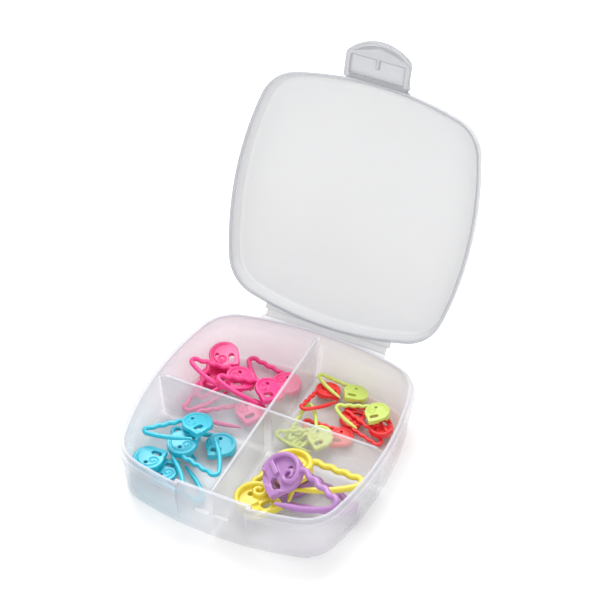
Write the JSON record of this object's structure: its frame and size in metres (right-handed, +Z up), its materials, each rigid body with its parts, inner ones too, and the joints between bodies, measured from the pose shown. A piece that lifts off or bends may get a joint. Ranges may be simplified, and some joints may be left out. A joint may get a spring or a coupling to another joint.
{
  "type": "stitch marker",
  "caption": "Locking stitch markers with a round slotted head, waved arm and curved pin, in several sizes and colours, lying loose in a hinged case with compartments and a snap latch.",
  "frame": {"origin": "centre of the tray's underside, on the table", "axes": "+X along the hinge to the right, +Y from the latch side towards the hinge, +Z up out of the tray"},
  "size_m": [0.08, 0.1207, 0.1041],
  "materials": {
    "frosted_case": "frosted translucent",
    "pink_plastic": "satin moulded",
    "blue_plastic": "satin moulded",
    "green_plastic": "satin moulded",
    "red_plastic": "satin moulded",
    "yellow_plastic": "satin moulded",
    "purple_plastic": "satin moulded"
  },
  "bodies": {
    "tray_body": {"base_tray": "frosted_case", "hinge_web": "frosted_case"},
    "lid_body": {"lid": "frosted_case", "latch_web": "frosted_case"},
    "latch_body": {"latch_flap": "frosted_case"},
    "pink_marker_1_body": {"pink_marker_1": "pink_plastic"},
    "pink_marker_2_body": {"pink_marker_2": "pink_plastic"},
    "pink_marker_3_body": {"pink_marker_3": "pink_plastic"},
    "pink_marker_4_body": {"pink_marker_4": "pink_plastic"},
    "pink_marker_5_body": {"pink_marker_5": "pink_plastic"},
    "pink_marker_6_body": {"pink_marker_6": "pink_plastic"},
    "blue_marker_1_body": {"blue_marker_1": "blue_plastic"},
    "blue_marker_2_body": {"blue_marker_2": "blue_plastic"},
    "blue_marker_3_body": {"blue_marker_3": "blue_plastic"},
    "blue_marker_4_body": {"blue_marker_4": "blue_plastic"},
    "blue_marker_5_body": {"blue_marker_5": "blue_plastic"},
    "red_marker_1_body": {"red_marker_1": "red_plastic"},
    "green_marker_1_body": {"green_marker_1": "green_plastic"},
    "green_marker_2_body": {"green_marker_2": "green_plastic"},
    "red_marker_2_body": {"red_marker_2": "red_plastic"},
    "red_marker_3_body": {"red_marker_3": "red_plastic"},
    "red_marker_4_body": {"red_marker_4": "red_plastic"},
    "green_marker_3_body": {"green_marker_3": "green_plastic"},
    "green_marker_4_body": {"green_marker_4": "green_plastic"},
    "purple_marker_1_body": {"purple_marker_1": "purple_plastic"},
    "yellow_marker_1_body": {"yellow_marker_1": "yellow_plastic"},
    "yellow_marker_2_body": {"yellow_marker_2": "yellow_plastic"},
    "purple_marker_2_body": {"purple_marker_2": "purple_plastic"}
  },
  "joints": [
    {"name": "lid_hinge", "type": "hinge", "parent": "tray_body", "child": "lid_body", "pos_m": [0, 0.0408, 0.0178], "axis": [-1, 0, 0], "range_deg": [-117, 63], "deforming": ["hinge_web"]},
    {"name": "latch_hinge", "type": "hinge", "parent": "lid_body", "child": "latch_body", "pos_m": [0, 0.07744, 0.09026], "axis": [-1, 0, 0], "range_deg": [-78, 25], "deforming": ["latch_web"]},
    {"name": "pink_marker_1_lift", "type": "slide", "parent": "tray_body", "child": "pink_marker_1_body", "axis": [0, 0, 1], "range_m": [0, 0.03]},
    {"name": "pink_marker_2_lift", "type": "slide", "parent": "pink_marker_1_body", "child": "pink_marker_2_body", "axis": [0, 0, 1], "range_m": [0, 0.03]},
    {"name": "pink_marker_3_lift", "type": "slide", "parent": "pink_marker_2_body", "child": "pink_marker_3_body", "axis": [0, 0, 1], "range_m": [0, 0.03]},
    {"name": "pink_marker_4_lift", "type": "slide", "parent": "pink_marker_3_body", "child": "pink_marker_4_body", "axis": [0, 0, 1], "range_m": [0, 0.03]},
    {"name": "pink_marker_5_lift", "type": "slide", "parent": "pink_marker_4_body", "child": "pink_marker_5_body", "axis": [0, 0, 1], "range_m": [0, 0.03]},
    {"name": "pink_marker_6_lift", "type": "slide", "parent": "pink_marker_5_body", "child": "pink_marker_6_body", "axis": [0, 0, 1], "range_m": [0, 0.03]},
    {"name": "blue_marker_1_lift", "type": "slide", "parent": "tray_body", "child": "blue_marker_1_body", "axis": [0, 0, 1], "range_m": [0, 0.03]},
    {"name": "blue_marker_2_lift", "type": "slide", "parent": "blue_marker_1_body", "child": "blue_marker_2_body", "axis": [0, 0, 1], "range_m": [0, 0.03]},
    {"name": "blue_marker_3_lift", "type": "slide", "parent": "blue_marker_2_body", "child": "blue_marker_3_body", "axis": [0, 0, 1], "range_m": [0, 0.03]},
    {"name": "blue_marker_4_lift", "type": "slide", "parent": "blue_marker_3_body", "child": "blue_marker_4_body", "axis": [0, 0, 1], "range_m": [0, 0.03]},
    {"name": "blue_marker_5_lift", "type": "slide", "parent": "blue_marker_4_body", "child": "blue_marker_5_body", "axis": [0, 0, 1], "range_m": [0, 0.03]},
    {"name": "red_marker_1_lift", "type": "slide", "parent": "tray_body", "child": "red_marker_1_body", "axis": [0, 0, 1], "range_m": [0, 0.03]},
    {"name": "green_marker_1_lift", "type": "slide", "parent": "red_marker_1_body", "child": "green_marker_1_body", "axis": [0, 0, 1], "range_m": [0, 0.03]},
    {"name": "green_marker_2_lift", "type": "slide", "parent": "green_marker_1_body", "child": "green_marker_2_body", "axis": [0, 0, 1], "range_m": [0, 0.03]},
    {"name": "red_marker_2_lift", "type": "slide", "parent": "green_marker_2_body", "child": "red_marker_2_body", "axis": [0, 0, 1], "range_m": [0, 0.03]},
    {"name": "red_marker_3_lift", "type": "slide", "parent": "red_marker_2_body", "child": "red_marker_3_body", "axis": [0, 0, 1], "range_m": [0, 0.03]},
    {"name": "red_marker_4_lift", "type": "slide", "parent": "red_marker_3_body", "child": "red_marker_4_body", "axis": [0, 0, 1], "range_m": [0, 0.03]},
    {"name": "green_marker_3_lift", "type": "slide", "parent": "red_marker_4_body", "child": "green_marker_3_body", "axis": [0, 0, 1], "range_m": [0, 0.03]},
    {"name": "green_marker_4_lift", "type": "slide", "parent": "green_marker_3_body", "child": "green_marker_4_body", "axis": [0, 0, 1], "range_m": [0, 0.03]},
    {"name": "purple_marker_1_lift", "type": "slide", "parent": "tray_body", "child": "purple_marker_1_body", "axis": [0, 0, 1], "range_m": [0, 0.03]},
    {"name": "yellow_marker_1_lift", "type": "slide", "parent": "purple_marker_1_body", "child": "yellow_marker_1_body", "axis": [0, 0, 1], "range_m": [0, 0.03]},
    {"name": "yellow_marker_2_lift", "type": "slide", "parent": "yellow_marker_1_body", "child": "yellow_marker_2_body", "axis": [0, 0, 1], "range_m": [0, 0.03]},
    {"name": "purple_marker_2_lift", "type": "slide", "parent": "yellow_marker_2_body", "child": "purple_marker_2_body", "axis": [0, 0, 1], "range_m": [0, 0.03]}
  ]
}
